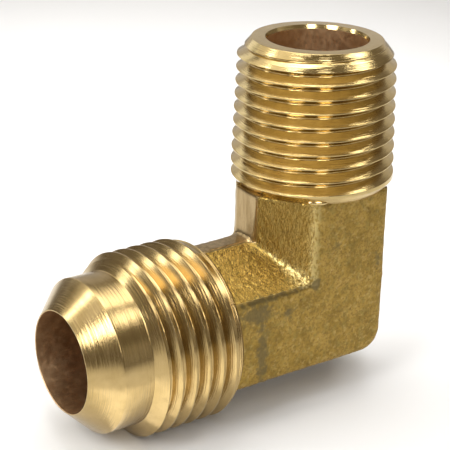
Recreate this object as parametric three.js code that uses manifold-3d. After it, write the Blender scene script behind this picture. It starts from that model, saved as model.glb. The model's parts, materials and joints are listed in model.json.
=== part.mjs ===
// Flare fitting: a 90 degree male elbow, forged and machined from one piece of brass.
// One port is a 45 degree flare seat with a straight thread for the flare nut of a 1/2 in tube.
// The other port is a 3/8 in tapered pipe thread.
//
// Frame, in millimetres: +Z is the pipe port's axis, pointing out of the port. The flare port points
// along -X, and the two axes cross. The origin is where the pipe axis leaves the underside of the heel.

import * as THREE from 'three';
import { mergeVertices } from 'three/addons/utils/BufferGeometryUtils.js';
import Module from 'manifold-3d';

const wasm = await Module();
wasm.setup();

const INCH = 25.4;
const SEGMENTS = 36; // sides of every round surface, and steps in one turn of thread

// Water way: both ports are drilled to the same size and meet inside the elbow.
const boreDiameter = INCH * 13 / 32;
const drillOverrun = 1.0; // full bore beyond the crossing of the axes
const drillPointAngle = 118; // included angle of the drilled bottom

// Forged body: each leg has a wrench flat on either side, and a flat land on the inside and the
// outside, where the forging's flash was trimmed. Sloping faces join the flats to the lands.
const flatDistance = 7.14; // middle plane to a wrench flat
const flatHalfWidth = 4.6;
const landDistance = 8.4; // leg axis to a land
const landHalfWidth = 1.0;
const innerLandHalfWidth = 1.75; // the pipe leg's land, on the inside of the elbow
const heelRadius = 2.1; // round at the outer corner of a wrench flat

// Threads: a symmetric 60 degree V, cut into a turned blank. Heights are measured along the port's own
// axis, from the crossing of the axes outwards.
const THREAD_ANGLE = 60;

const pipe = {
  reach: 28.46, // height of the end face
  pitch: INCH / 18,
  threadDepth: 1.05,
  crestRadius: 8.57, // where the thread ends at the body
  taper: 1 / 32, // loss of radius per unit of height
  shoulder: 13.45, // height of the blank's inner end
  shoulderChamfer: 0.55, // radial size
  shoulderChamferLength: 0.8,
  runOut: 0.65, // height above the shoulder at which the groove has risen out of the blank
  grooveAngle: 60, // degrees about the axis at which the groove's centre passes the end face
  faceWidth: 1.4, // flat ring of the end face
  faceChamferSlope: 0.8, // radius gained per unit of height below the end face
  mouthChamfer: 0.16, // radial size of the break at the bore's mouth
  mouthChamferLength: 0.4,
};

const flare = {
  reach: 30.28, // height of the nose
  pitch: INCH / 16,
  threadDepth: 0.974,
  crestRadius: 9.39,
  taper: 0,
  shoulder: 14.5,
  shoulderChamfer: 0.8,
  shoulderChamferLength: 1.1,
  runOut: 0.7,
  grooveAngle: 130,
  noseRim: 0.12, // flat ring round the bore at the tip of the seat
  seatAngle: 45, // slope of the seat, from the axis
  pilotRadius: 7.88, // plain cylinder between the seat and the thread
  pilotLength: 3.28, // of the plain cylinder alone
  leadChamferLength: 1.0,
};

const RUN_OUT_TURNS = 0.4; // part of a turn in which the groove rises out
const FLANK_OVERCUT = 0.03; // how far the groove's sloping flanks go on past the crests
const CUTTER_CLEARANCE = 0.5; // how far a cutting shape passes the surface that it cuts

// A closed mesh of three.js, as a solid. Vertices are joined and empty triangles left out.
function solidFrom(geometry) {
  const bare = new THREE.BufferGeometry();
  bare.setAttribute('position', geometry.getAttribute('position'));
  bare.setIndex(geometry.getIndex());
  const joined = mergeVertices(bare, 1e-5);
  const index = joined.getIndex().array;
  const triangles = [];
  for (let i = 0; i < index.length; i += 3) {
    const [a, b, c] = index.slice(i, i + 3);
    if (a !== b && b !== c && c !== a) triangles.push(a, b, c);
  }
  return new wasm.Manifold(new wasm.Mesh({
    numProp: 3,
    vertProperties: Float32Array.from(joined.getAttribute('position').array),
    triVerts: Uint32Array.from(triangles),
  }));
}

function geometryFrom(solid) {
  const mesh = solid.getMesh();
  const geometry = new THREE.BufferGeometry();
  geometry.setAttribute('position', new THREE.BufferAttribute(mesh.vertProperties, 3));
  geometry.setIndex(new THREE.BufferAttribute(mesh.triVerts, 1));
  geometry.computeVertexNormals();
  return geometry;
}

// Shapes of a port are made with its axis along +Z. The flare port's are then turned to point along -X.
function toFlareSide(geometry) {
  return geometry.rotateY(-Math.PI / 2);
}

// A solid of revolution about +Z, from points of (radius, height) that start and end on the axis.
function turned(profile) {
  const points = profile.map(([radius, height]) => new THREE.Vector2(radius, height));
  return new THREE.LatheGeometry(points, SEGMENTS).rotateX(Math.PI / 2);
}

// A right-hand helix about +Z. Its frames hold a swept section in the plane through the axis, with the
// section's x pointing away from the axis.
class ThreadPath extends THREE.Curve {
  constructor(port, steps) {
    super();
    this.port = port;
    this.turns = steps / SEGMENTS;
  }

  // Turns past the end face, negative below it. The path ends one turn beyond the face.
  turnsPastFace(t) {
    return 1 - (1 - t) * this.turns;
  }

  angleAt(t) {
    return THREE.MathUtils.degToRad(this.port.grooveAngle) + 2 * Math.PI * this.turnsPastFace(t);
  }

  getPoint(t, target = new THREE.Vector3()) {
    const { reach, pitch, threadDepth } = this.port;
    const height = reach + pitch * this.turnsPastFace(t);
    const rise = Math.max(0, 1 - t * this.turns / RUN_OUT_TURNS);
    const radius = crestRadiusAt(this.port, height) - threadDepth * (1 - rise);
    const angle = this.angleAt(t);
    return target.set(radius * Math.cos(angle), radius * Math.sin(angle), height);
  }

  getSpacedPoints(divisions) {
    return this.getPoints(divisions);
  }

  computeFrenetFrames(segments) {
    const frames = { tangents: [], normals: [], binormals: [] };
    for (let i = 0; i <= segments; i += 1) {
      const angle = this.angleAt(i / segments);
      const outward = new THREE.Vector3(Math.cos(angle), Math.sin(angle), 0);
      const inwardAlongAxis = new THREE.Vector3(0, 0, -1);
      frames.normals.push(outward);
      frames.binormals.push(inwardAlongAxis);
      frames.tangents.push(outward.clone().cross(inwardAlongAxis));
    }
    return frames;
  }
}

function crestRadiusAt(port, height) {
  return port.crestRadius - port.taper * (height - port.shoulder);
}

// The V groove of a port's thread, from beyond its end face down to the run-out.
function threadGroove(port) {
  const { reach, pitch, threadDepth } = port;
  const flankWidth = threadDepth * Math.tan(THREE.MathUtils.degToRad(THREAD_ANGLE / 2));
  const flatWidth = pitch / 2 - flankWidth; // crest flat and root flat are alike
  const flankTop = threadDepth + FLANK_OVERCUT;
  const root = flatWidth / 2;
  const mouth = root + flankWidth * flankTop / threadDepth;
  const top = threadDepth + CUTTER_CLEARANCE;
  const section = new THREE.Shape([
    new THREE.Vector2(0, -root),
    new THREE.Vector2(flankTop, -mouth),
    new THREE.Vector2(top, -mouth),
    new THREE.Vector2(top, mouth),
    new THREE.Vector2(flankTop, mouth),
    new THREE.Vector2(0, root),
  ]);
  const innerEnd = port.shoulder + port.runOut;
  const steps = Math.round(SEGMENTS * (1 + (reach - innerEnd) / pitch));
  const extrudePath = new ThreadPath(port, steps);
  return new THREE.ExtrudeGeometry(section, { steps, extrudePath, bevelEnabled: false });
}

// Turned blank of the pipe port: shoulder, tapered thread stock and chamfered end. Its core reaches
// down to the crossing of the axes.
function pipeBlank() {
  const { reach, shoulder } = pipe;
  const coreRadius = boreDiameter / 2;
  const faceRadius = coreRadius + pipe.mouthChamfer + pipe.faceWidth;
  const stockBottom = shoulder + pipe.shoulderChamferLength;
  const stockRadius = crestRadiusAt(pipe, stockBottom);
  const chamferDepth = crestRadiusAt(pipe, reach) - faceRadius;
  const stockTop = reach - chamferDepth / (pipe.faceChamferSlope - pipe.taper);
  return turned([
    [0, 0],
    [coreRadius, 0],
    [coreRadius, shoulder],
    [stockRadius - pipe.shoulderChamfer, shoulder],
    [stockRadius, stockBottom],
    [crestRadiusAt(pipe, stockTop), stockTop],
    [faceRadius, reach],
    [0, reach],
  ]);
}

// Turned blank of the flare port: shoulder, thread stock, lead chamfer, plain pilot and seat cone.
function flareBlank() {
  const { reach, shoulder, crestRadius, pilotRadius } = flare;
  const coreRadius = boreDiameter / 2;
  const noseRadius = coreRadius + flare.noseRim;
  const seatSlope = Math.tan(THREE.MathUtils.degToRad(flare.seatAngle));
  const pilotTop = reach - (pilotRadius - noseRadius) / seatSlope;
  const pilotBottom = pilotTop - flare.pilotLength;
  return turned([
    [0, 0],
    [coreRadius, 0],
    [coreRadius, shoulder],
    [crestRadius - flare.shoulderChamfer, shoulder],
    [crestRadius, shoulder + flare.shoulderChamferLength],
    [crestRadius, pilotBottom - flare.leadChamferLength],
    [pilotRadius, pilotBottom],
    [pilotRadius, pilotTop],
    [noseRadius, reach],
    [0, reach],
  ]);
}

// Drilled hole of a port, from beyond its end face to the drill point past the crossing of the axes.
function portBore(reach, mouthRadius, mouthLength) {
  const radius = boreDiameter / 2;
  const pointLength = radius / Math.tan(THREE.MathUtils.degToRad(drillPointAngle / 2));
  return turned([
    [0, -drillOverrun - pointLength],
    [radius, -drillOverrun],
    [radius, reach - mouthLength],
    [mouthRadius, reach],
    [mouthRadius, reach + CUTTER_CLEARANCE],
    [0, reach + CUTTER_CLEARANCE],
  ]);
}

// One forged leg along +Z: a section with wrench flats at +-Y and lands at +-X. The land at -X may be
// wider than the one at +X.
function forgedLeg(innerHalfWidth, bottom, top) {
  const corners = [
    [-landDistance, -innerHalfWidth],
    [-flatHalfWidth, -flatDistance],
    [flatHalfWidth, -flatDistance],
    [landDistance, -landHalfWidth],
    [landDistance, landHalfWidth],
    [flatHalfWidth, flatDistance],
    [-flatHalfWidth, flatDistance],
    [-landDistance, innerHalfWidth],
  ];
  const section = new THREE.Shape(corners.map(([x, y]) => new THREE.Vector2(x, y)));
  const geometry = new THREE.ExtrudeGeometry(section, { depth: top - bottom, bevelEnabled: false });
  return geometry.translate(0, 0, bottom);
}

// Outside corner of the elbow: the leg's outer half, turned about the centre of the heel's round.
function forgedHeel(centre) {
  const landRadius = heelRadius + landDistance - flatHalfWidth;
  const outline = [
    [0, -flatDistance],
    [heelRadius, -flatDistance],
    [landRadius, -landHalfWidth],
    [landRadius, landHalfWidth],
    [heelRadius, flatDistance],
    [0, flatDistance],
  ];
  const points = outline.map(([radius, y]) => new THREE.Vector2(radius, y));
  return new THREE.LatheGeometry(points, SEGMENTS).translate(centre, 0, -centre);
}

function elbowSolid() {
  const heelCentre = flatHalfWidth - heelRadius; // distance from each axis
  const forging = solidFrom(forgedLeg(innerLandHalfWidth, -heelCentre, pipe.shoulder))
    .add(solidFrom(toFlareSide(forgedLeg(landHalfWidth, -heelCentre, flare.shoulder))))
    .add(solidFrom(forgedHeel(heelCentre)));
  const pipePort = solidFrom(pipeBlank()).subtract(solidFrom(threadGroove(pipe)));
  const flarePort = solidFrom(toFlareSide(flareBlank()))
    .subtract(solidFrom(toFlareSide(threadGroove(flare))));
  const boreRadius = boreDiameter / 2;
  const pipeBore = portBore(pipe.reach, boreRadius + pipe.mouthChamfer, pipe.mouthChamferLength);
  const flareBore = portBore(flare.reach, boreRadius, 0);
  return forging
    .add(pipePort)
    .add(flarePort)
    .subtract(solidFrom(pipeBore))
    .subtract(solidFrom(toFlareSide(flareBore)));
}

const brass = new THREE.MeshStandardMaterial({ color: 0xb8924a, metalness: 1, roughness: 0.35 });
brass.name = 'brass';

const elbowBody = new THREE.Mesh(geometryFrom(elbowSolid()), brass);
elbowBody.name = 'elbow_body';
elbowBody.position.z = landDistance; // underside of the heel at height zero

const flareFitting = new THREE.Group();
flareFitting.add(elbowBody);

export default flareFitting;
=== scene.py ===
"""Looks of the brass flare fitting: one forged and machined elbow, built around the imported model.

Shapes are worked out in millimetres in the model's own frame and scaled to metres at the end.
"""

import json
import math

import bpy
import numpy as np
from mathutils import Matrix, Vector


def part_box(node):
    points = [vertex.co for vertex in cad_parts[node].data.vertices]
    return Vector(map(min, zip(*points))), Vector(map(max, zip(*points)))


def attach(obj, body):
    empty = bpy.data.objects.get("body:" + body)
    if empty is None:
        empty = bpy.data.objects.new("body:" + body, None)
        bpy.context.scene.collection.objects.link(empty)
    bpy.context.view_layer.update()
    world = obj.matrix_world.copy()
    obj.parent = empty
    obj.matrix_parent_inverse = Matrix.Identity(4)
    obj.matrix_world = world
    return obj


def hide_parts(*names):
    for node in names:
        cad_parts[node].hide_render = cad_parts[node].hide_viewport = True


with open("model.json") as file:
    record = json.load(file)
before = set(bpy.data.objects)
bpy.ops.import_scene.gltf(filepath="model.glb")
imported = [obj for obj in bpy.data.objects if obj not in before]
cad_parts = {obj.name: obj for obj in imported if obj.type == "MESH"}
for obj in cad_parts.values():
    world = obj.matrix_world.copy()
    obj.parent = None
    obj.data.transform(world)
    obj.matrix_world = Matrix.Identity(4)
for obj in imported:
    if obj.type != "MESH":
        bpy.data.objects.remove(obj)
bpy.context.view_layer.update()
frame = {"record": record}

MM = 0.001
INCH = 25.4
SEED = 11


# ---------------------------------------------------------------- sizes, in millimetres

def in_mm(vector):
    return [value / MM for value in vector]


LOW, HIGH = (in_mm(corner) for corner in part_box("elbow_body"))
MOUNTS = {mount["name"]: in_mm(mount["pos_m"]) for mount in frame["record"]["mounts"]}

CROSSING = MOUNTS["wrench_flat_front"][2]  # height where the two port axes cross
FLAT = -MOUNTS["wrench_flat_front"][1]  # middle plane to a wrench flat
LAND = CROSSING - MOUNTS["heel_underside"][2]  # leg axis to a trimmed land
FLAT_HALF_WIDTH = 4.6
LAND_HALF_WIDTH = 1.0
INNER_LAND_HALF_WIDTH = 1.75
HEEL_CENTRE = 2.5  # of the heel's round, from each axis

BORE = INCH * 13 / 64  # radius
DRILL_OVERRUN = 1.0
DRILL_POINT = math.radians(59)  # half of the drill's point angle
DRILL_CORNER = 0.2  # round where the drill's point begins
PIPE_MOUTH = (0.16, 0.4)  # radial size and length of the break at the bore's mouth
FLARE_MOUTH = (0.03, 0.05)
FLANK = math.tan(math.radians(30))

PIPE = {
    "reach": HIGH[2] - CROSSING,
    "pitch": INCH / 18,
    "depth": 1.05,
    "crest": 8.57,
    "taper": 1 / 32,
    "shoulder": 13.45,
    "groove_angle": math.radians(56.4),
    "run_out": 14.0,
    "crest_flat": 0.10,
}
FLARE = {
    "reach": -LOW[0],
    "pitch": INCH / 16,
    "depth": 0.974,
    "crest": -LOW[1],
    "taper": 0.0,
    "shoulder": 14.5,
    "groove_angle": math.radians(126.9),
    "run_out": 15.2,
    "crest_flat": 0.14,
}
RUN_OUT_TURNS = 0.4  # part of a turn in which the groove rises out
EXTRA_TURNS = 1.5  # of the threaded bar, beyond the port at each end
CREST_ROUND = 0.02
ROOT_ROUND = 0.07
STOCK = 0.02  # turned stock above the thread crests, so that the crests keep their own rounding
FOOT_SINK = 0.03  # how far a port's foot goes into the forging

PIPE_FACE = BORE + PIPE_MOUTH[0] + 1.4  # outer radius of the pipe port's flat end ring
FACE_SLOPE = 0.8  # radius gained per unit of height below the end face
PIPE_FOOT = (0.57, 0.8)  # radial size and length of the chamfer at the port's foot

NOSE = BORE + 0.12  # outer radius of the rim at the tip of the flare seat
PILOT = 7.88  # radius of the plain cylinder behind the seat
PILOT_LENGTH = 3.28
LEAD_CHAMFER_LENGTH = 1.0
FLARE_FOOT = (0.8, 1.1)
FOOT_GROOVES = ((0.40, 0.45, 0.07), (0.12, 0.85, 0.08))  # start below the crests, height, depth
FOOT_GROOVE_LENGTH = 0.08

BURR_SIZE = (1.0, 0.26, 0.26)  # half sizes across, outwards and upwards
BURR_AROUND = math.radians(-34)  # about the pipe axis, from the front
BURR_DEPTH = 0.5  # of its middle, below the thread crests
BURR_RISE = 0.12  # of its middle, above the shoulder
BURR_STEPS = 12

EDGE = 0.20  # width of the soft edges of the forging
INNER_EDGE = EDGE / 3  # the same beside the inner lands
SOFT_EDGE = 0.32  # the same beside the pipe leg's wrench flats
SOFT_EDGE_START = FLAT_HALF_WIDTH + 0.5  # height above the crossing
CROTCH = 0.5  # width of the fillet where the legs meet
CROTCH_START = 2.0  # distance from the axes over which that fillet grows

# Relief of the forged skin: height or depth, and width of one feature
LONG_WAVES = (0.030, 3.1)
SHORT_WAVES = (0.018, 1.2)
SLOPE_GRAIN = (0.045, 0.42)
FINE_GRAIN = (0.008, 0.5)
FLAT_PITS = (0.12, 0.7)
PIT_RARITY = 0.62  # 0 gives pits on half of a flat, 1 gives none
SLOPE_STEEPNESS = 0.58  # how far a sloping face turns towards the front or the back, 0 to 1
SMOOTH_END = 0.3  # length over which the relief fades out at a port
SKIN_MARGIN = 0.4  # room round the forging for its relief

TURN_STEPS = 180  # points in one turn of a thread
ROUND_STEPS = 180  # sides of turned surfaces
RING_STEP = 0.6  # longest stretch between two rings of a turned surface
FORGING_STEP = 0.14  # grid of the forged skin
NORMAL_STEP = 0.05  # distance over which the skin's slope is taken
NOISE_VALUES = 4096
NOISE_HASH = (73856093, 19349663, 83492791)
SHARP_ANGLE = math.radians(35)

FORGED, TURNED_PIPE, TURNED_FLARE, DRILLED = range(4)  # material slots of the elbow
# One turned brass in two copies: the pipe port's is lighter and the flare port's darker, painted light and
# shade for how each port is lit
PIPE_BRASS_LIT = (0.58, 0.43, 0.18), (0.68, 0.515, 0.235)  # darker and lighter parts
FLARE_BRASS_SHADED = (0.42, 0.30, 0.125), (0.50, 0.365, 0.165)

# Marks on the front wrench flat: x, height above the crossing, half width, half height, strength
FLAT_MARKS = [
    (-FLAT_HALF_WIDTH + 0.1, FLAT_HALF_WIDTH + 0.2, 0.6, 0.7, 1.0),  # dark inner corner
    (-12.0, 3.2, 2.0, 1.1, 1.1),  # smudge beside the flare port
    (-11.1, -1.4, 0.7, 3.8, 1.1),  # where it ran down
    (-8.0, 2.4, 0.8, 0.7, 0.9),
    (3.6, 6.0, 0.5, 1.3, 0.7),
    (-2.0, 8.4, 0.5, 0.6, 0.8),
    (5.8, -1.5, 0.4, 0.5, 0.7),
]

CAMERA_AZIMUTH = math.radians(-35.72)
CAMERA_HEIGHT = math.radians(22.08)
CAMERA_ROLL = math.radians(1.375)
CAMERA_DISTANCE = 143.19
CAMERA_AIM = Vector((-0.13, 0.0, 0.76))  # from the middle of the elbow's box
CAMERA_LENS = 112.4
CAMERA_CLIP = 0.005  # metres

FLOOR_HALF_SIZE = 600
LIGHT_LEVEL = 0.45
WORLD_LEVEL = 0.50
COOL = (0.86, 0.93, 1.0)
COOL_WHITE = (0.92, 0.96, 1.0)
WARM_WHITE = (1.0, 0.98, 0.94)


# ---------------------------------------------------------------- mesh helpers

def new_object(name, vertices, faces):
    mesh = bpy.data.meshes.new(name)
    mesh.from_pydata([tuple(v) for v in vertices], [], [tuple(f) for f in faces])
    mesh.validate()
    obj = bpy.data.objects.new(name, mesh)
    bpy.context.scene.collection.objects.link(obj)
    return obj


def merge(target, tool, operation):
    """Joins, cuts or intersects target with tool and removes the tool."""
    modifier = target.modifiers.new(operation, "BOOLEAN")
    modifier.operation = operation
    modifier.object = tool
    modifier.solver = "MANIFOLD"
    bpy.context.view_layer.update()
    evaluated = target.evaluated_get(bpy.context.evaluated_depsgraph_get())
    mesh = bpy.data.meshes.new_from_object(evaluated)
    target.modifiers.clear()
    target.data = mesh
    bpy.data.objects.remove(tool)
    return target


def to_flare_side(obj):
    """Turns a shape made along +Z so that it points along -X."""
    obj.data.transform(Matrix.Rotation(-math.pi / 2, 4, "Y"))
    return obj


def rounded(points, steps=4):
    """A polyline of (radius, height, rounding) with its corners rounded by arcs."""
    result = []
    for i, (radius, height, rounding) in enumerate(points):
        here = np.array([radius, height])
        if not rounding or i in (0, len(points) - 1):
            result.append(here)
            continue
        before = np.array(points[i - 1][:2]) - here
        after = np.array(points[i + 1][:2]) - here
        unit_before = before / np.linalg.norm(before)
        unit_after = after / np.linalg.norm(after)
        half = math.acos(np.clip(unit_before @ unit_after, -1, 1)) / 2
        reach = rounding / math.tan(half)
        centre_way = unit_before + unit_after
        centre = here + centre_way / np.linalg.norm(centre_way) * rounding / math.sin(half)
        start = here + unit_before * reach - centre
        end = here + unit_after * reach - centre
        for step in range(steps + 1):
            way = start + (end - start) * step / steps
            result.append(centre + way / np.linalg.norm(way) * rounding)
    return result


def divided(points, longest):
    """The same polyline with extra points, so that no stretch off the axis is over the longest."""
    result = [points[0]]
    for before, after in zip(points, points[1:]):
        length = np.linalg.norm(after - before)
        on_axis = min(before[0], after[0]) == 0
        pieces = 1 if on_axis else max(1, math.ceil(length / longest))
        result += [before + (after - before) * step / pieces for step in range(1, pieces + 1)]
    return result


def lathe(name, points, steps=4):
    """A solid of revolution about +Z, from a polyline that starts and ends on the axis."""
    profile = divided(rounded(points, steps), RING_STEP)
    inner = profile[1:-1]
    angles = np.arange(ROUND_STEPS) * 2 * math.pi / ROUND_STEPS
    vertices = [(r * math.cos(a), r * math.sin(a), z) for r, z in inner for a in angles]
    bottom = len(vertices)
    vertices += [(0, 0, profile[0][1]), (0, 0, profile[-1][1])]
    faces = []
    last = (len(inner) - 1) * ROUND_STEPS
    for i in range(ROUND_STEPS):
        j = (i + 1) % ROUND_STEPS
        faces.append((bottom, j, i))
        faces.append((bottom + 1, last + i, last + j))
        for row in range(0, last, ROUND_STEPS):
            faces.append((row + i, row + j, row + ROUND_STEPS + j, row + ROUND_STEPS + i))
    return new_object(name, vertices, faces)


def lattice_noise(points, size, seed):
    """Smooth noise from -1 to 1 with features about as wide as size."""
    table = np.random.default_rng(seed).uniform(-1, 1, NOISE_VALUES)
    scaled = points / size
    cell = np.floor(scaled).astype(np.int64)
    part = scaled - cell
    part = part * part * (3 - 2 * part)
    total = np.zeros(len(points))
    for dx in (0, 1):
        for dy in (0, 1):
            for dz in (0, 1):
                corner = cell + (dx, dy, dz)
                a, b, c = (corner * NOISE_HASH).T
                weight = np.abs(1 - dx - part[:, 0])
                weight = weight * np.abs(1 - dy - part[:, 1]) * np.abs(1 - dz - part[:, 2])
                total += weight * table[(a ^ b ^ c) % NOISE_VALUES]
    return total


# ---------------------------------------------------------------- ports

def thread_profile(port):
    """Half a pitch either side of a crest: (offset along the axis in pitches, depth below the crest)."""
    pitch, depth = port["pitch"], port["depth"]
    crest = port["crest_flat"] / 2
    flank = depth * FLANK
    corners = [
        (-pitch / 2, -depth, 0),
        (-crest - flank, -depth, ROOT_ROUND),
        (-crest, 0, CREST_ROUND),
        (crest, 0, CREST_ROUND),
        (crest + flank, -depth, ROOT_ROUND),
        (pitch / 2, -depth, 0),
    ]
    shape = rounded(corners, 3)[:-1]
    return [(along / pitch, below) for along, below in shape]


def threaded_rod(name, port):
    """A threaded bar, longer than the port, with its groove running out at the body."""
    profile = np.array(thread_profile(port))
    rows = len(profile)
    run_out = (port["run_out"] - port["reach"]) / port["pitch"]
    turns = np.arange((run_out - EXTRA_TURNS) * TURN_STEPS, EXTRA_TURNS * TURN_STEPS) / TURN_STEPS
    count = len(turns) - 1
    angle = port["groove_angle"] + 2 * math.pi * turns
    # a row's turn counts from the groove below the crest; rows past the crest belong to the next groove
    groove_turn = turns[:, None] + (profile[None, :, 0] > 0)
    fade = np.clip((groove_turn - run_out) / RUN_OUT_TURNS, 0, 1)
    height = port["reach"] + port["pitch"] * (turns[:, None] + 0.5 + profile[None, :, 0])
    radius = port["crest"] - port["taper"] * (height - port["shoulder"])
    radius = radius + profile[None, :, 1] * fade * fade * (3 - 2 * fade)
    x = radius * np.cos(angle)[:, None]
    y = radius * np.sin(angle)[:, None]
    vertices = np.stack([x, y, height], axis=-1).reshape(-1, 3)

    def at(k, j):
        return (k + TURN_STEPS) * rows if j == rows else k * rows + j

    faces = []
    for k in range(count):
        for j in range(rows):
            if j == rows - 1 and k + 1 + TURN_STEPS > count:
                continue
            faces.append((at(k, j), at(k + 1, j), at(k + 1, j + 1), at(k, j + 1)))
    bottom_loop = [at(k, 0) for k in range(TURN_STEPS + 1)] + [at(0, j) for j in range(rows - 1, 0, -1)]
    tail = count - TURN_STEPS
    top_loop = [at(k, rows - 1) for k in range(tail, count + 1)]
    top_loop += [at(count, j) for j in range(rows - 2, -1, -1)]
    points = vertices.tolist()
    points.append([0, 0, float(height[0, 0])])
    points.append([0, 0, float(height[-1, -1])])
    low_hub, high_hub = len(points) - 2, len(points) - 1
    for a, b in zip(bottom_loop, bottom_loop[1:] + bottom_loop[:1]):
        faces.append((b, a, low_hub))
    for a, b in zip(top_loop, top_loop[1:] + top_loop[:1]):
        faces.append((a, b, high_hub))
    return new_object(name, points, faces)


def port_blank(name, port, outline):
    """The turned shape of a port that the thread is cut into; outline is (radius, height, rounding)."""
    foot = port["shoulder"] - FOOT_SINK
    return lathe(name, [(0, foot, 0), *outline, (0, outline[-1][1], 0)])


def pipe_outline():
    """The pipe port's turned shape: (radius, height, rounding)."""
    foot_size, foot_length = PIPE_FOOT
    crest_at_face = PIPE["crest"] - PIPE["taper"] * (PIPE["reach"] - PIPE["shoulder"])
    chamfer = (crest_at_face - PIPE_FACE) / (FACE_SLOPE - PIPE["taper"])
    return [
        (PIPE["crest"] - foot_size, PIPE["shoulder"] - FOOT_SINK, 0.03),
        (PIPE["crest"] + STOCK, PIPE["shoulder"] + foot_length, 0.1),
        (crest_at_face + PIPE["taper"] * chamfer + STOCK, PIPE["reach"] - chamfer, 0.1),
        (PIPE_FACE, PIPE["reach"], 0.06),
    ]


def flare_outline():
    """The flare port's turned shape, from two fine grooves in its foot to the tip of the seat."""
    foot_size, foot_length = FLARE_FOOT
    foot = FLARE["shoulder"] - FOOT_SINK
    grooves = []
    for below, height, depth in FOOT_GROOVES:
        grooves.append((FLARE["crest"] - below, foot + height, 0.02))
        grooves.append((FLARE["crest"] - below - depth, foot + height + FOOT_GROOVE_LENGTH, 0.02))
    pilot_top = FLARE["reach"] - (PILOT - NOSE)
    pilot_bottom = pilot_top - PILOT_LENGTH
    return [
        (FLARE["crest"] - foot_size, foot, 0.03),
        *grooves,
        (FLARE["crest"] + STOCK, FLARE["shoulder"] + foot_length, 0.05),
        (FLARE["crest"] + STOCK, pilot_bottom - LEAD_CHAMFER_LENGTH, 0.08),
        (PILOT, pilot_bottom, 0.12),
        (PILOT, pilot_top, 0.15),
        (NOSE, FLARE["reach"], 0.04),
    ]


def make_port(name, port, outline):
    rod = threaded_rod(name, port)
    return merge(rod, port_blank(name + "_blank", port, outline), "INTERSECT")


def bore_tool(name, port, mouth):
    """The drill's shape, from past the crossing of the axes to beyond the port's end."""
    mouth_size, mouth_length = mouth
    above = port["reach"] + 1
    return lathe(name, [
        (0, -DRILL_OVERRUN - BORE / math.tan(DRILL_POINT), 0),
        (BORE, -DRILL_OVERRUN, DRILL_CORNER),
        (BORE, port["reach"] - mouth_length, 0.02),
        (BORE + mouth_size, port["reach"], 0.01),
        (BORE + mouth_size + 0.3, above, 0),
        (0, above, 0),
    ])


# ---------------------------------------------------------------- forging

def smooth_max(a, b, width):
    return (a + b + np.sqrt((a - b) ** 2 + width ** 2)) / 2


def smooth_min(a, b, width):
    return (a + b - np.sqrt((a - b) ** 2 + width ** 2)) / 2


def slope(across, sideways, land_half_width):
    """Signed distance to the sloping face between a land and a wrench flat."""
    along = np.array([LAND - FLAT_HALF_WIDTH, land_half_width - FLAT])
    normal = np.array([-along[1], along[0]]) / np.linalg.norm(along)
    return (across - FLAT_HALF_WIDTH) * normal[0] + (sideways - FLAT) * normal[1]


def leg(across, sideways, inner_half_width):
    """A leg's section without its flats. across is positive on the outside of the elbow."""
    outer = smooth_max(across - LAND, slope(across, sideways, LAND_HALF_WIDTH), EDGE)
    inner = smooth_max(-across - LAND, slope(-across, sideways, inner_half_width), INNER_EDGE)
    return np.maximum(outer, inner)


def forging_field(x, y, z):
    """Below zero inside the forging. Heights count from the crossing of the axes."""
    sideways = np.abs(y)
    beyond_x = x > HEEL_CENTRE
    below_z = z < -HEEL_CENTRE
    around = np.hypot(x - HEEL_CENTRE, z + HEEL_CENTRE) + HEEL_CENTRE
    in_heel = beyond_x & below_z
    upright = leg(np.where(in_heel, around, x), sideways, INNER_LAND_HALF_WIDTH)
    upright = np.where(below_z & ~beyond_x, np.maximum(upright, -HEEL_CENTRE - z), upright)
    lying = leg(np.where(in_heel, around, -z), sideways, LAND_HALF_WIDTH)
    lying = np.where(beyond_x & ~below_z, np.maximum(lying, x - HEEL_CENTRE), lying)
    crotch = CROTCH * np.clip(np.minimum(-x, z) / CROTCH_START, 0, 1)  # none of it at the heel
    legs = smooth_min(upright, lying, crotch)
    edge = EDGE + (SOFT_EDGE - EDGE) * np.clip(z - SOFT_EDGE_START, 0, 1)
    body = smooth_max(legs, sideways - FLAT, edge)
    return np.maximum(body, np.maximum(z - PIPE["shoulder"], -x - FLARE["shoulder"]))


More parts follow.
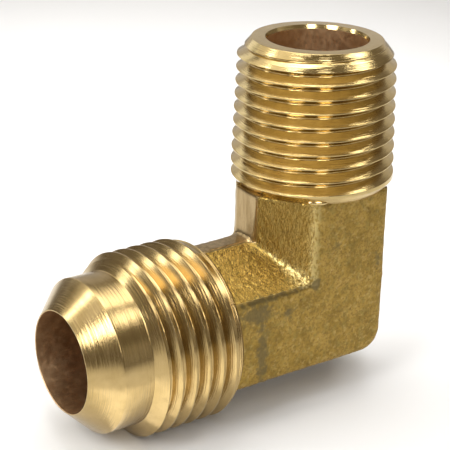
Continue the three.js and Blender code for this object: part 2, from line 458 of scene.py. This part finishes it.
def surface_of(field, low, high, step):
    """Vertices and quads of the surface where field is zero, one vertex in each cell that it crosses."""
    axes = [np.arange(a, b + step, step) for a, b in zip(low, high)]
    values = field(*np.meshgrid(*axes, indexing="ij"))
    cells = tuple(n - 1 for n in values.shape)
    total = np.zeros(cells + (3,))
    hits = np.zeros(cells)
    for axis in range(3):
        first = [slice(None)] * 3
        second = [slice(None)] * 3
        first[axis] = slice(0, -1)
        second[axis] = slice(1, None)
        a, b = values[tuple(first)], values[tuple(second)]
        crosses = (a < 0) != (b < 0)
        part = np.where(crosses, a / np.where(crosses, a - b, 1), 0)
        others = [i for i in range(3) if i != axis]
        for du in (0, 1):
            for dv in (0, 1):
                window = [slice(None)] * 3
                window[others[0]] = slice(du, du + cells[others[0]])
                window[others[1]] = slice(dv, dv + cells[others[1]])
                hit = crosses[tuple(window)]
                hits += hit
                total[..., axis] += np.where(hit, part[tuple(window)], 0)
                total[..., others[0]] += hit * du
                total[..., others[1]] += hit * dv
    used = hits > 0
    number = np.full(cells, -1)
    number[used] = np.arange(used.sum())
    offset = total[used] / hits[used][:, None]
    vertices = (np.argwhere(used) + offset) * step + np.array([a[0] for a in axes])
    faces = []
    for axis in range(3):
        others = [i for i in range(3) if i != axis]
        if axis == 1:
            others.reverse()
        inner = [slice(1, -1)] * 3
        inner[axis] = slice(0, -1)
        after = list(inner)
        after[axis] = slice(1, None)
        a, b = values[tuple(inner)], values[tuple(after)]
        for sign in (1, -1):
            place = np.argwhere((a < 0) & (b >= 0) if sign > 0 else (a >= 0) & (b < 0))
            for other in others:
                place[:, other] += 1
            corners = []
            for du, dv in ((0, 0), (1, 0), (1, 1), (0, 1)):
                cell = place.copy()
                cell[:, others[0]] -= du
                cell[:, others[1]] -= dv
                corners.append(number[cell[:, 0], cell[:, 1], cell[:, 2]])
            faces.append(np.stack(corners if sign > 0 else corners[::-1], axis=1))
    return vertices, np.concatenate(faces)


def field_normals(vertices):
    h = NORMAL_STEP
    x, y, z = vertices.T
    gradient = np.stack([
        forging_field(x + h, y, z) - forging_field(x - h, y, z),
        forging_field(x, y + h, z) - forging_field(x, y - h, z),
        forging_field(x, y, z + h) - forging_field(x, y, z - h),
    ], axis=1)
    return gradient / np.maximum(np.linalg.norm(gradient, axis=1), 1e-9)[:, None]


def relief(vertices, seed, height_and_width):
    """One layer of the skin's relief."""
    height, width = height_and_width
    return height * lattice_noise(vertices, width, SEED + seed)


def forging_roughness(vertices, normals):
    """Height of the forged skin's hammered waves, grain and pits."""
    steep = np.abs(normals[:, 1])
    on_slope = np.clip(1 - np.abs(steep - SLOPE_STEEPNESS) / 0.3, 0, 1)
    on_flat = np.clip((steep - 0.85) / 0.12, 0, 1)
    waves = relief(vertices, 0, LONG_WAVES) + relief(vertices, 1, SHORT_WAVES)
    grain = relief(vertices * (1.5, 1.5, 0.8), 2, SLOPE_GRAIN)
    fine = relief(vertices, 3, FINE_GRAIN)
    pit_depth, pit_width = FLAT_PITS
    pits = np.minimum(lattice_noise(vertices, pit_width, SEED + 4) + PIT_RARITY, 0) * pit_depth
    return waves + on_slope * grain + fine + on_flat * pits


def make_forging():
    low = (-FLARE["shoulder"] - SKIN_MARGIN, -FLAT - SKIN_MARGIN, -LAND - SKIN_MARGIN)
    high = (LAND + SKIN_MARGIN, FLAT + SKIN_MARGIN, PIPE["shoulder"] + SKIN_MARGIN)
    vertices, faces = surface_of(forging_field, low, high, FORGING_STEP)
    normals = field_normals(vertices)
    near_end = np.minimum(PIPE["shoulder"] - vertices[:, 2], vertices[:, 0] + FLARE["shoulder"])
    height = forging_roughness(vertices, normals) * np.clip(near_end / SMOOTH_END, 0, 1)
    return new_object("forging", vertices + normals * height[:, None], faces)


# ---------------------------------------------------------------- the elbow

def burr():
    """A small lump of metal left where the pipe thread's tool ran out, just above the forging."""
    arcs = [math.pi * (step / BURR_STEPS - 0.5) for step in range(BURR_STEPS + 1)]
    ball = lathe("burr", [(max(math.cos(a), 0.0), math.sin(a), 0) for a in arcs])
    place = Matrix.Translation((0, BURR_DEPTH - PIPE["crest"], PIPE["shoulder"] + BURR_RISE))
    ball.data.transform(Matrix.Rotation(BURR_AROUND, 4, "Z") @ place @ Matrix.Diagonal((*BURR_SIZE, 1)))
    return ball


def make_elbow():
    elbow = make_forging()
    merge(elbow, make_port("pipe_port", PIPE, pipe_outline()), "UNION")
    merge(elbow, to_flare_side(make_port("flare_port", FLARE, flare_outline())), "UNION")
    merge(elbow, burr(), "UNION")
    merge(elbow, bore_tool("pipe_bore", PIPE, PIPE_MOUTH), "DIFFERENCE")
    merge(elbow, to_flare_side(bore_tool("flare_bore", FLARE, FLARE_MOUTH)), "DIFFERENCE")
    elbow.name = "elbow"
    return elbow


# ---------------------------------------------------------------- materials

class Nodes:
    """Builds one material's node tree."""

    def __init__(self, name):
        self.material = bpy.data.materials.new(name)
        self.material.use_nodes = True
        self.tree = self.material.node_tree
        self.tree.nodes.clear()
        self.shader = self.add("ShaderNodeBsdfPrincipled")
        output = self.add("ShaderNodeOutputMaterial")
        self.link(self.shader.outputs["BSDF"], output.inputs["Surface"])
        self.place = self.add("ShaderNodeVectorMath", operation="SCALE")
        self.place.inputs["Scale"].default_value = 1 / MM
        self.link(self.add("ShaderNodeTexCoord").outputs["Object"], self.place.inputs[0])

    def add(self, kind, **settings):
        node = self.tree.nodes.new(kind)
        for key, value in settings.items():
            setattr(node, key, value)
        return node

    def link(self, output, target):
        self.tree.links.new(output, target)

    def attribute(self, name):
        return self.add("ShaderNodeAttribute", attribute_name=name).outputs["Fac"]

    def noise(self, size, detail=3.0, stretch=(1, 1, 1), offset=0.0, roughness=0.55, place=None):
        """Noise whose features are about size millimetres wide."""
        mapping = self.add("ShaderNodeMapping")
        mapping.inputs["Scale"].default_value = [value / size for value in stretch]
        mapping.inputs["Location"].default_value = (offset, offset * 2, -offset)
        self.link(place or self.place.outputs[0], mapping.inputs["Vector"])
        node = self.add("ShaderNodeTexNoise")
        node.inputs["Scale"].default_value = 1.0
        node.inputs["Detail"].default_value = detail
        node.inputs["Roughness"].default_value = roughness
        self.link(mapping.outputs[0], node.inputs["Vector"])
        return node.outputs["Fac"]

    def ramp(self, value, stops):
        node = self.add("ShaderNodeValToRGB")
        elements = node.color_ramp.elements
        while len(elements) < len(stops):
            elements.new(0.5)
        for element, (position, colour) in zip(elements, stops):
            element.position = position
            element.color = (*colour, 1) if len(colour) == 3 else colour
        self.link(value, node.inputs["Fac"])
        return node.outputs["Color"]

    def levels(self, value, low, high, to_low=0.0, to_high=1.0):
        node = self.add("ShaderNodeMapRange")
        for key, number in zip(("From Min", "From Max", "To Min", "To Max"), (low, high, to_low, to_high)):
            node.inputs[key].default_value = number
        self.link(value, node.inputs["Value"])
        return node.outputs["Result"]

    def mix(self, factor, first, second, blend="MIX"):
        node = self.add("ShaderNodeMix", data_type="RGBA", blend_type=blend)
        self.put(factor, node.inputs[0])
        self.put(first, node.inputs[6])
        self.put(second, node.inputs[7])
        return node.outputs[2]

    def blend(self, factor, first, second):
        node = self.add("ShaderNodeMix", data_type="FLOAT")
        self.put(factor, node.inputs[0])
        self.put(first, node.inputs[2])
        self.put(second, node.inputs[3])
        return node.outputs[0]

    def maths(self, operation, first, second):
        node = self.add("ShaderNodeMath", operation=operation)
        self.put(first, node.inputs[0])
        self.put(second, node.inputs[1])
        return node.outputs[0]

    def put(self, value, target):
        if isinstance(value, bpy.types.NodeSocket):
            self.link(value, target)
        elif isinstance(value, tuple):
            target.default_value = (*value, 1)
        else:
            target.default_value = value

    def bump(self, height, distance, strength, before=None):
        node = self.add("ShaderNodeBump")
        node.inputs["Strength"].default_value = strength
        node.inputs["Distance"].default_value = distance * MM
        self.link(height, node.inputs["Height"])
        if before is not None:
            self.link(before, node.inputs["Normal"])
        return node.outputs["Normal"]

    def finish(self, colour, roughness, normal, metallic=1.0):
        self.shader.inputs["Metallic"].default_value = metallic
        self.put(colour, self.shader.inputs["Base Color"])
        self.put(roughness, self.shader.inputs["Roughness"])
        self.put(normal, self.shader.inputs["Normal"])
        return self.material


def skin_colour(n, slope_zone, land_zone, stain_zone, painted_highlight_zone):
    """Olive gold with darker and paler specks, painted glints on the sloping faces, a painted highlight in
    pale bare-metal colour by the flat's edge and in the crease, tan on the lands.
    """
    gold = n.ramp(n.noise(1.3, 4), [
        (0.32, (0.255, 0.166, 0.037)),
        (0.50, (0.350, 0.230, 0.053)),
        (0.68, (0.435, 0.288, 0.075)),
    ])
    green_spots = n.levels(n.noise(0.8, 4, offset=7), 0.50, 0.64, 0, 0.7)
    dark_specks = n.levels(n.noise(0.26, 2, offset=3), 0.45, 0.66, 0, 0.6)
    pale_specks = n.levels(n.noise(0.50, 3, offset=5), 0.54, 0.68, 0, 0.4)
    dark_pits = n.levels(n.noise(0.55, 1, offset=12), 0.30, 0.22, 0, 0.7)
    colour = n.mix(green_spots, gold, (0.285, 0.215, 0.062))
    colour = n.mix(dark_specks, colour, (0.186, 0.114, 0.0319))
    colour = n.mix(pale_specks, colour, (0.54, 0.39, 0.14))
    colour = n.mix(dark_pits, colour, (0.12, 0.0665, 0.0266))

    # painted glints: pale golden specks mixed into the sloping faces' colour
    painted_glints = n.levels(n.noise(0.28, 4, offset=31), 0.56, 0.66, 0, 0.5)
    colour = n.mix(n.maths("MULTIPLY", slope_zone, 0.6), colour, (0.335, 0.229, 0.065))
    colour = n.mix(n.maths("MULTIPLY", slope_zone, painted_glints), colour, (0.62, 0.45, 0.14))

    # painted highlight: pale bare-metal colour beside the flat's inner edge and in a wedge below the crease,
    # broken up by noise
    highlight_breakup = n.levels(n.noise(0.35, 2, stretch=(1, 1, 0.6), offset=21), 0.38, 0.52)
    colour = n.mix(n.maths("MULTIPLY", painted_highlight_zone, highlight_breakup), colour, (0.86, 0.70, 0.31))

    trimmed = n.ramp(n.noise(0.5, 3, stretch=(1, 1, 0.15)), [
        (0.35, (0.313, 0.219, 0.0998)),
        (0.60, (0.426, 0.313, 0.16)),
    ])
    colour = n.mix(land_zone, colour, trimmed)

    ragged = n.levels(n.noise(0.6, 3, offset=15), 0.3, 0.7, -0.4, 0.4)
    stain = n.levels(n.maths("ADD", stain_zone, ragged), 0.30, 0.80, 0, 0.8)
    return n.mix(stain, colour, (0.150, 0.116, 0.052))


def forged_skin():
    """Dull olive-gold forged brass: mottled, grainy, stained, and rougher on the sloping faces."""
    n = Nodes("forged_brass")
    slope_zone = n.attribute("slope_zone")
    land_zone = n.attribute("land_zone")
    stain_zone = n.attribute("stain_zone")
    painted_highlight_zone = n.attribute("painted_highlight_zone")
    colour = skin_colour(n, slope_zone, land_zone, stain_zone, painted_highlight_zone)
    roughness = n.levels(n.noise(0.9, 3, offset=9), 0.3, 0.7, 0.38, 0.52)
    roughness = n.blend(slope_zone, roughness, 0.27)
    roughness = n.blend(land_zone, roughness, 0.25)
    grain = n.maths("ADD", n.noise(0.20, 3, stretch=(1.2, 1.2, 0.5), offset=2), n.noise(0.45, 4, offset=6))
    grain_depth = n.blend(land_zone, n.blend(slope_zone, 0.30, 1.0), 0.08)
    normal = n.bump(n.maths("MULTIPLY", grain, grain_depth), 0.11, 1.0)
    return n.finish(colour, roughness, normal)


def turned_brass(name, axis, dark, light, smoothest):
    """Bright turned brass, with fine tool lines round the port's axis (0 for X, 2 for Z).

    The noise hardly changes round the axis. It runs along the axis and, on end faces, along the radius.
    """
    n = Nodes(name)
    parts = n.add("ShaderNodeSeparateXYZ")
    n.link(n.place.outputs[0], parts.inputs[0])
    if axis == 2:
        along, side, up = parts.outputs[2], parts.outputs[0], parts.outputs[1]
    else:
        along, side, up = parts.outputs[0], parts.outputs[1], n.maths("SUBTRACT", parts.outputs[2], CROSSING)
    radius = n.maths("SQRT", n.maths("ADD", n.maths("MULTIPLY", side, side), n.maths("MULTIPLY", up, up)), 0)
    feed = n.maths("ADD", along, n.maths("MULTIPLY", radius, 0.6 if axis == 0 else -0.6))
    rings = n.add("ShaderNodeCombineXYZ")
    n.link(feed, rings.inputs[0])
    n.link(n.maths("MULTIPLY", side, 0.02), rings.inputs[1])
    n.link(n.maths("MULTIPLY", up, 0.02), rings.inputs[2])
    fine = n.noise(0.05, 2, place=rings.outputs[0])
    coarse = n.noise(0.16, 2, place=rings.outputs[0], offset=3)
    base = n.ramp(n.noise(2.0, 3), [(0.3, dark), (0.7, light)])
    dull = n.mix(n.levels(n.noise(0.9, 3, offset=8), 0.55, 0.75, 0, 0.35), base, tuple(0.8 * c for c in dark))
    roughness = n.levels(fine, 0.3, 0.7, smoothest, smoothest + 0.11)
    lines = n.bump(fine, 0.008, 1.0)
    normal = n.bump(coarse, 0.022, 1.0, lines)
    return n.finish(dull, roughness, normal)


def drilled_brass():
    """Duller brass inside the bores, mottled brown with a fine bump."""
    n = Nodes("drilled_brass")
    base = n.ramp(n.noise(0.9, 3), [(0.35, (0.54, 0.35, 0.19)), (0.65, (0.68, 0.47, 0.27))])
    roughness = n.levels(n.noise(0.5, 3, offset=4), 0.3, 0.7, 0.34, 0.46)
    normal = n.bump(n.noise(0.25, 3, offset=2), 0.01, 0.5)
    return n.finish(base, roughness, normal)


def coordinates(items, key):
    """A vector property of mesh items, as three arrays."""
    values = np.empty(len(items) * 3)
    items.foreach_get(key, values)
    return values.reshape(-1, 3)


def zone_attribute(mesh, name, values):
    attribute = mesh.attributes.new(name, "FLOAT", "POINT")
    attribute.data.foreach_set("value", np.ascontiguousarray(values, dtype=np.float32))


def stripe(distance, half_width):
    """A soft stripe, 1 where the distance is 0."""
    return np.exp(-(distance / half_width) ** 2)


def assign_materials(mesh):
    """Gives each face the finish of the part of the elbow that it lies in."""
    mesh.materials.clear()
    mesh.materials.append(forged_skin())
    # the pipe port gets the lit copy of the turned brass and the flare port the shaded copy, as painted light
    # and shade
    mesh.materials.append(turned_brass("turned_pipe_port", 2, *PIPE_BRASS_LIT, 0.08))
    mesh.materials.append(turned_brass("turned_flare_port", 0, *FLARE_BRASS_SHADED, 0.15))
    mesh.materials.append(drilled_brass())
    x, y, z = coordinates(mesh.polygons, "center").T
    slots = np.full(len(mesh.polygons), FORGED, dtype=np.int32)
    slots[z > PIPE["shoulder"] + 0.001] = TURNED_PIPE
    slots[-x > FLARE["shoulder"] + 0.001] = TURNED_FLARE
    drilled = BORE + 0.05
    slots[(np.hypot(x, y) < drilled) & (z > -LAND / 2)] = DRILLED
    slots[(np.hypot(y, z) < drilled) & (x < LAND / 2)] = DRILLED
    mesh.polygons.foreach_set("material_index", slots)


def mark_zones(mesh):
    """Marks where the forged skin is sloping, trimmed, stained or painted with a highlight, from 0 to 1 at
    each vertex.
    """
    places = coordinates(mesh.vertices, "co")
    x, y, z = places.T
    sideways = np.abs(y)

    on_narrow_land = sideways < LAND_HALF_WIDTH + 0.1
    inner_land = (x < 0) & (sideways < INNER_LAND_HALF_WIDTH + 0.15) & (z > LAND)
    outer_land = (np.minimum(np.abs(x - LAND), np.abs(z + LAND)) < 0.2) & on_narrow_land
    top_land = (np.abs(z - LAND) < 0.12) & on_narrow_land & (x < -LAND)
    land = inner_land | outer_land | top_land
    zone_attribute(mesh, "land_zone", land)
    zone_attribute(mesh, "slope_zone", np.clip((FLAT - 0.1 - sideways) / 0.25, 0, 1) * (1 - land))

    inner_edge = 0.8 * stripe(z - FLAT_HALF_WIDTH, 0.28) * (x < -FLAT_HALF_WIDTH + 0.6)
    stain = inner_edge * np.clip(0.75 + 0.5 * lattice_noise(places, 1.1, SEED + 6), 0, 1)
    for at_x, at_z, half_width, half_height, strength in FLAT_MARKS:
        stain = stain + strength * stripe(x - at_x, half_width) * stripe(z - at_z, half_height)
    on_front = y < 1 - FLAT
    zone_attribute(mesh, "stain_zone", np.clip(stain, 0, 1) * on_front)

    # painted highlight: a band beside the flat's inner upright edge and a wedge below the crease on the flare
    # leg's sloping face
    edge_highlight = stripe(x + FLAT_HALF_WIDTH + 0.1, 0.42) * (z > FLAT_HALF_WIDTH + 0.6)
    edge_highlight = edge_highlight * (sideways > FLAT - 0.9)
    below_crease = -(z + x)  # distance from the crease, along the flare leg's sloping face
    wedge = 0.10 + 0.30 * np.clip(sideways - 3, 0, 4)  # width of the painted highlight's wedge there
    crease_highlight = stripe(below_crease - wedge / 2, wedge) * (sideways > 3)
    crease_highlight = crease_highlight * (x < -FLAT_HALF_WIDTH + 0.3) * (z > FLAT_HALF_WIDTH)
    zone_attribute(mesh, "painted_highlight_zone", np.clip(0.40 * edge_highlight + 0.85 * crease_highlight, 0, 1))


def paint(elbow):
    """Gives the elbow its finishes, their zones and smooth shading between its sharp edges."""
    mesh = elbow.data
    assign_materials(mesh)
    mark_zones(mesh)
    mesh.polygons.foreach_set("use_smooth", np.ones(len(mesh.polygons), dtype=bool))
    mesh.set_sharp_from_angle(angle=SHARP_ANGLE)
    weighted = elbow.modifiers.new("weighted_normals", "WEIGHTED_NORMAL")
    weighted.keep_sharp = True


# ---------------------------------------------------------------- stage, light and camera

def direction(azimuth, height):
    """The way towards a point seen at an azimuth (0 is the front, -Y) and a height."""
    level = math.cos(height)
    return Vector((math.sin(azimuth) * level, -math.cos(azimuth) * level, math.sin(height)))


def plain_material(name, colour, roughness):
    n = Nodes(name)
    shade = n.mix(n.levels(n.noise(60, 2), 0.3, 0.7), colour, tuple(c * 0.97 for c in colour))
    n.link(shade, n.shader.inputs["Base Color"])
    n.shader.inputs["Roughness"].default_value = roughness
    return n.material


def make_floor(height):
    """A plain pale floor, far larger than the view."""
    size = FLOOR_HALF_SIZE
    corners = [(-size, -size, height), (size, -size, height), (size, size, height), (-size, size, height)]
    floor = new_object("floor", corners, [(0, 1, 2, 3)])
    floor.data.transform(Matrix.Scale(MM, 4))
    floor.data.materials.append(plain_material("pale_floor", (0.74, 0.74, 0.735), 0.7))


def area_light(name, place, turn, size, radiance, spread=180, colour=(1, 1, 1)):
    """A rectangular light of a size in millimetres, unseen by the camera itself."""
    data = bpy.data.lights.new(name, "AREA")
    data.shape = "RECTANGLE"
    data.size = size[0] * MM
    data.size_y = size[1] * MM
    data.energy = LIGHT_LEVEL * radiance * math.pi * data.size * data.size_y
    data.spread = math.radians(spread)
    data.color = colour
    light = bpy.data.objects.new(name, data)
    bpy.context.scene.collection.objects.link(light)
    light.location = place * MM
    light.rotation_euler = turn
    light.visible_camera = False


def soft_box(name, place, target, size, radiance, spread=180, colour=(1, 1, 1)):
    """A light that hangs at a place and faces a target."""
    turn = (target - place).to_track_quat("-Z", "Y").to_euler()
    area_light(name, place, turn, size, radiance, spread, colour)


def beside_camera(right, height, distance):
    """A place some degrees to the right of the camera, as seen from the elbow."""
    return direction(CAMERA_AZIMUTH + math.radians(right), math.radians(height)) * distance


def bounce_card(name, centre, right, near, far, width, radiance):
    """A light that lies on the floor and faces up, as a white card there would."""
    azimuth = CAMERA_AZIMUTH + math.radians(right)
    place = centre + beside_camera(right, 0, (near + far) / 2)
    place.z = LOW[2] + 0.5
    area_light(name, place, (math.pi, 0, azimuth), (width, far - near), radiance)


def make_lights(middle):
    # behind the elbow: the background's brightness and the upper sides of the flare port
    behind = beside_camera(-170, 0, 85)
    behind.z = LOW[2]
    soft_box("back_top", behind + Vector((0, 0, 200)), behind, (180, 180), 3.3, 90)
    soft_box("back_panel", middle + beside_camera(180, 18, 350), middle, (600, 230), 0.85)
    soft_box("back_left", middle + beside_camera(-140, 24, 300), middle, (130, 120), 1.6, 180, COOL)

    # large and weak, over the flare port's end
    beyond_flare = middle + beside_camera(-120, 0, 60)
    soft_box("overhead_left", middle + beside_camera(-100, 50, 280), beyond_flare, (330, 260), 1.1, 120,
             WARM_WHITE)

    # the bright streaks on the turned surfaces, from left to right
    soft_box("side_strip", middle + beside_camera(-94, 30, 260), middle, (40, 150), 4.0, 100, COOL_WHITE)
    soft_box("left_window", middle + beside_camera(-37, 38, 260), middle, (95, 120), 7.6, 100)
    soft_box("front_window", middle + beside_camera(15, 36, 240), middle, (62, 150), 6.0, 100)
    soft_box("right_window", middle + beside_camera(95, 51, 280), middle, (95, 110), 3.2, 100)
    soft_box("right_panel", middle + beside_camera(78, 12, 320), middle, (260, 130), 0.6)
    bounce_card("left_card", Vector((0, 0, 0)), -27, 25, 42, 18, 2.0)


def make_world():
    world = bpy.data.worlds.new("studio")
    world.use_nodes = True
    background = world.node_tree.nodes["Background"]
    background.inputs["Color"].default_value = (0.42, 0.36, 0.30, 1)
    background.inputs["Strength"].default_value = WORLD_LEVEL
    bpy.context.scene.world = world
    bpy.context.scene.view_settings.view_transform = "Standard"


def make_camera(middle):
    data = bpy.data.cameras.new("camera")
    data.lens = CAMERA_LENS
    data.clip_start = CAMERA_CLIP
    camera = bpy.data.objects.new("camera", data)
    bpy.context.scene.collection.objects.link(camera)
    back = direction(CAMERA_AZIMUTH, CAMERA_HEIGHT)
    turn = (-back).to_track_quat("-Z", "Y").to_matrix() @ Matrix.Rotation(CAMERA_ROLL, 3, "Z")
    camera.rotation_euler = turn.to_euler()
    camera.location = (middle + CAMERA_AIM + back * CAMERA_DISTANCE) * MM
    bpy.context.scene.camera = camera


# ---------------------------------------------------------------- the scene

box_middle = Vector([(a + b) / 2 for a, b in zip(LOW, HIGH)])
make_camera(box_middle)
make_lights(box_middle)
make_world()
make_floor(LOW[2])

elbow = make_elbow()
paint(elbow)
elbow.data.transform(Matrix.Scale(MM, 4) @ Matrix.Translation((0, 0, CROSSING)))
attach(elbow, "root")
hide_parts("elbow_body")
